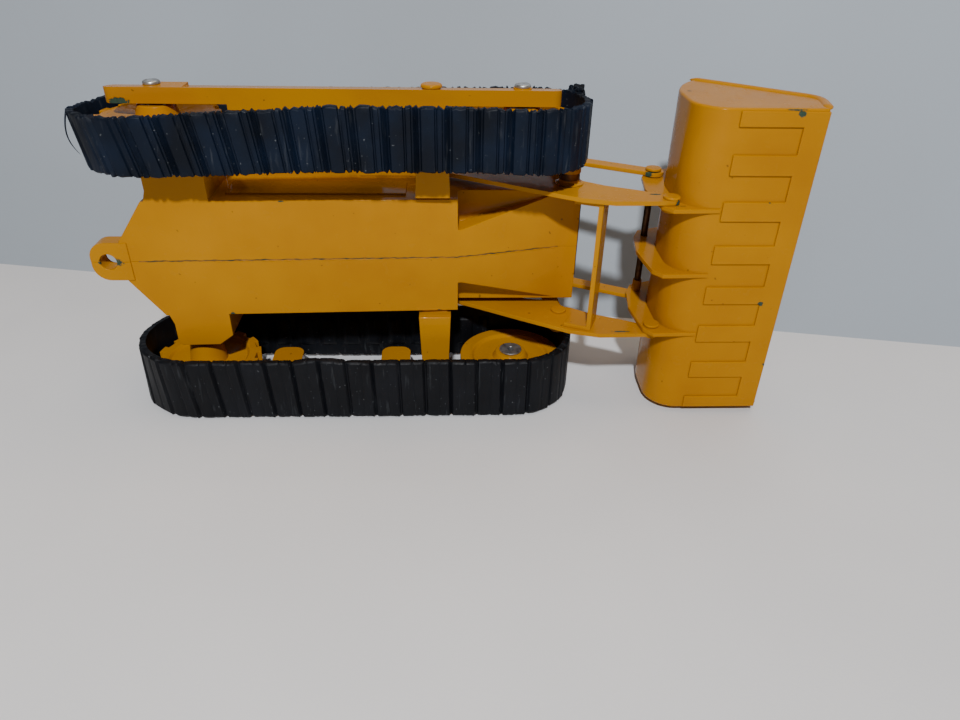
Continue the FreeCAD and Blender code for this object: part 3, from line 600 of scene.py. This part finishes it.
# ---- Wheels and their rivets
# Cast zinc sprockets and dished idlers in the body's enamel turn on plain steel rivets through the
# side frames. The idlers' rivets are tubular and rolled over at their ends.
eased("yellow_enamel", body_paint, 0.35, "sprocket_left", "sprocket_right", "idler_left", "idler_right")


def bare_steel(name, bright, dark, rough):
    """Zinc-plated steel gone dull, with fine turning marks, stains and scratches."""
    material, tree, output, where = new_material(name)
    stain = noise(tree, where, 480.0, 4.0)
    marks = relief(tree, noise(tree, where, 2600.0, 2.0), 0.25, 0.00004)
    metal = node(tree, "BsdfPrincipled", {
        "Base Color": ramp(tree, stain, 0.34, 0.6, dark, bright), "Metallic": 0.85, "Normal": marks,
        "Roughness": fade(tree, stain, 0.3, 0.7, rough + 0.15, rough)})
    tree.links.new(metal.outputs[0], output.inputs["Surface"])
    return material


steel = bare_steel("rivet_steel", (0.55, 0.56, 0.56), (0.22, 0.21, 0.20), 0.30)
eased("rivet_steel", steel, 0.18, "sprocket_rivet_left", "sprocket_rivet_right", "idler_rivet_left",
      "idler_rivet_right")

# ---- Towers, platform, seat and controls
# Upright cast towers carry the arms and a cast platform the console, fixed to the body and in its
# enamel. The seat, grille, pipes and control levers are mouldings of black plastic.
eased("yellow_enamel", body_paint, 0.3, "tower_left", "tower_right", "deck", "console", "filler_cap")


def plastic(name, base, pale):
    """Moulded black plastic with a fine leather grain and slight wear to grey."""
    material, tree, output, where = new_material(name)
    grain = node(tree, "TexVoronoi", {"Vector": where, "Scale": 1500.0}).outputs["Distance"]
    rub = noise(tree, where, 160.0, 4.0)
    tone = blend(tree, fade(tree, rub, 0.5, 0.75, 0.0, 0.6), (*base, 1), (*pale, 1))
    made = node(tree, "BsdfPrincipled", {
        "Base Color": tone, "Roughness": fade(tree, rub, 0.3, 0.7, 0.38, 0.56),
        "Normal": relief(tree, grain, 0.25, 0.0001)})
    tree.links.new(made.outputs[0], output.inputs["Surface"])
    return material


black = plastic("black_plastic", (0.012, 0.012, 0.013), (0.035, 0.035, 0.036))
eased("black_plastic", black, 0.25, "seat", "grille", "exhaust_stack", "air_cleaner",
      "control_lever_left", "control_lever_right")

# ---- Tower rivets, lift arms and strap
# Stamped sheet-steel arms with a welded cross strap, in the same enamel. They are held by
# round-headed rivets that were painted over.
arm_chips = [((50.6, 19.9, 4.9), (3.2, 1.0, 0.45)), ((60.0, 19.9, 4.6), (2.6, 1.0, 0.7)),
             ((56.1, -20.0, 8.9), (2.0, 1.0, 0.6)), ((62.5, -19.9, 4.2), (4.2, 1.0, 0.45)),
             ((66.0, 19.0, 3.0), (0.6, 0.6, 0.6)), ((59.0, -20.0, 27.0), (3.0, 1.0, 0.8)),
             ((59.0, 20.0, 27.0), (3.0, 1.0, 0.8))]
arm_paint = enamel("arm_enamel", paint_bright, paint_deep, arm_chips)
eased("yellow_enamel", arm_paint, 0.22, "lift_arm_left", "lift_arm_right", "cross_strap",
      "lever_rivet_left", "lever_rivet_right", "bucket_rivet_left", "bucket_rivet_right")
eased("yellow_enamel", arm_paint, 0.2, "tower_rivet_left", "tower_rivet_right")

# ---- Tilt levers and links
# Stamped steel levers turn on the arms' rivets and push flat links down to the rod behind the
# bucket. Each lever has a brown bare hub, and each arm a flared enamelled flange round its rivet.
eased("yellow_enamel", arm_paint, 0.2, "tilt_lever_left", "tilt_lever_right", "tilt_link_left",
      "tilt_link_right", "link_pin_left", "link_pin_right")


def turned(name, x, z, profile, side, steps=44):
    """A closed ring turned about the Y line through (x, z): each (radius, y) point of the loop, in mm,
    goes once round a circle; side is 1 on the left and -1 on the right."""
    loop = np.array(profile) * MM
    turn = np.linspace(0, 2 * math.pi, steps, endpoint=False)
    xs = x + loop[:, :1] * np.cos(turn)
    zs = z + loop[:, :1] * np.sin(turn)
    ys = np.repeat(side * loop[:, 1:], steps, 1)
    return skin(name, np.stack([xs, ys, zs], -1), along=True)


hub_steel = bare_steel("hub_steel", (0.16, 0.085, 0.045), (0.05, 0.025, 0.014), 0.38)
FLANGE_PROFILE = [(1.4, 20.64), (3.75, 20.64), (3.95, 20.78), (3.9, 20.98), (3.3, 21.10), (2.9, 21.45),
                  (2.86, 21.9), (1.4, 21.9)]
HUB_RADIUS = 0.0029
HUB_OUTER_Y = 0.0238
for side, ending in ((1, "left"), (-1, "right")):
    hub_x, hub_z = middle_xz("lever_rivet_" + ending)
    flare = turned("hub_flange_" + ending, hub_x, hub_z, FLANGE_PROFILE, side)
    flare.data.materials.append(arm_paint)
    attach(flare, "loader_arms")
    lever = bpy.data.objects["tilt_lever_" + ending + "_finished"]
    lever.data.materials.append(hub_steel)
    middle = np.array([face.center for face in lever.data.polygons])
    reach = np.hypot(middle[:, 0] - hub_x, middle[:, 2] - hub_z)
    on_hub = (reach < HUB_RADIUS) & (np.abs(middle[:, 1]) < HUB_OUTER_Y)
    lever.data.polygons.foreach_set("material_index", on_hub.astype(np.int32))

# ---- Bucket
# A casting of back, floor and cheeks, with the wear comb fixed under its floor and three ears behind
# it, in the same enamel, chipped on its corners and cutting edge.
bucket_chips = [((87.1, -43.7, 1.4), (1.0, 0.9, 1.0)), ((88.3, 8.6, 1.4), (0.75, 0.75, 0.7)),
                ((71.5, 32.1, 1.4), (0.6, 0.7, 0.6)), ((94.3, -42.5, 2.6), (0.8, 0.5, 0.7)),
                ((94.4, -31.9, 2.2), (0.7, 0.9, 0.9)), ((94.3, -6.0, 2.2), (0.5, 0.5, 0.6)),
                ((94.3, 4.5, 2.2), (0.5, 0.7, 0.8)), ((94.2, 29.0, 2.0), (1.1, 0.6, 0.9)),
                ((94.3, 40.0, 2.2), (0.5, 0.5, 0.5)), ((84.2, -21.1, 1.4), (0.3, 0.3, 0.4)),
                ((62.0, -18.0, 4.0), (3.0, 1.4, 0.5)), ((64.2, -44.5, 20.0), (0.9, 0.5, 0.5)),
                ((86.0, -44.6, 2.0), (3.5, 0.35, 0.25)), ((56.0, 18.2, 29.0), (0.8, 1.0, 0.7)),
                ((56.0, -18.2, 29.0), (0.8, 1.0, 0.7))]
bucket_paint = enamel("bucket_enamel", (0.44, 0.184, 0.0), (0.38, 0.150, 0.0), bucket_chips)
eased("yellow_enamel", bucket_paint, 1.0, "bucket_shell")
eased("yellow_enamel", bucket_paint, 0.25, "wear_comb", "ear_left", "ear_middle", "ear_right")

# ---- Tilt rod
# A browned steel rod through the bucket's ears, its ends painted over with the bucket, and a short
# enamelled sleeve round it beside the left ear.
ROD_PAINTED_FROM_Y = 0.0206
SLEEVE_PROFILE = [(1.05, 14.4), (1.35, 14.4), (1.42, 15.0), (1.42, 17.2), (1.3, 17.9), (1.05, 17.9)]
rod_steel = bare_steel("dark_rod", (0.10, 0.055, 0.028), (0.035, 0.018, 0.010), 0.42)
rod = eased("dark_rod", rod_steel, 0.15, "tilt_rod")[0]
rod.data.materials.append(bucket_paint)
face_y = np.array([abs(face.center.y) for face in rod.data.polygons])
rod.data.polygons.foreach_set("material_index", (face_y > ROD_PAINTED_FROM_Y).astype(np.int32))
rod_x, rod_z = middle_xz("tilt_rod")
sleeve = turned("rod_sleeve", rod_x, rod_z, SLEEVE_PROFILE, 1)
sleeve.data.materials.append(bucket_paint)
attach(sleeve, "bucket")

# ---- Cheek rims
# A rounded rib cast in one with each cheek, along its top edge and round its front corner, in the
# bucket's enamel.


def rim_rib(side):
    """A rib along the cheek's edge: an oval with half axes of 1.3 and 0.7 mm carried along a smoothed
    line of (x, z) points, shrinking at both ends with the square root of the distance to the end."""
    half_wide, half_proud, fade_over, sunk = 0.0013, 0.0007, 0.002, 0.0002
    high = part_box("bucket_shell")[1]
    route_x = np.array([high.x - 0.0290, high.x - 0.0180, high.x - 0.0080, high.x - 0.0030, high.x - 0.0014,
                        high.x - 0.0018, high.x - 0.0034])
    route_z = np.array([high.z - 0.0012, high.z - 0.0094, high.z - 0.0172, high.z - 0.0208, high.z - 0.0235,
                        high.z - 0.0270, high.z - 0.0335])
    steps = np.concatenate([[0], np.cumsum(np.hypot(np.diff(route_x), np.diff(route_z)))])
    run = np.linspace(0, steps[-1], 90)
    x = np.interp(run, steps, route_x)
    z = np.interp(run, steps, route_z)
    for _ in range(6):
        x[1:-1] = (x[:-2] + x[1:-1] + x[2:]) / 3
        z[1:-1] = (z[:-2] + z[1:-1] + z[2:]) / 3
    along_x, along_z = np.gradient(x), np.gradient(z)
    size = np.hypot(along_x, along_z)
    nx, nz = -along_z / size, along_x / size
    taper = np.sqrt(np.clip(np.minimum(run, run[-1] - run) / fade_over, 0.02, 1))
    turn = np.linspace(0, 2 * math.pi, 16, endpoint=False)
    wide = half_wide * taper[:, None] * np.cos(turn)
    y = side * (high.y - sunk + half_proud * taper[:, None] * np.sin(turn))
    return np.stack([x[:, None] + nx[:, None] * wide, y, z[:, None] + nz[:, None] * wide], -1)


for side, ending in ((1, "left"), (-1, "right")):
    rib = skin("cheek_rim_" + ending, rim_rib(side), capped=True, crease=60)
    rib.data.materials.append(bucket_paint)
    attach(rib, "bucket")
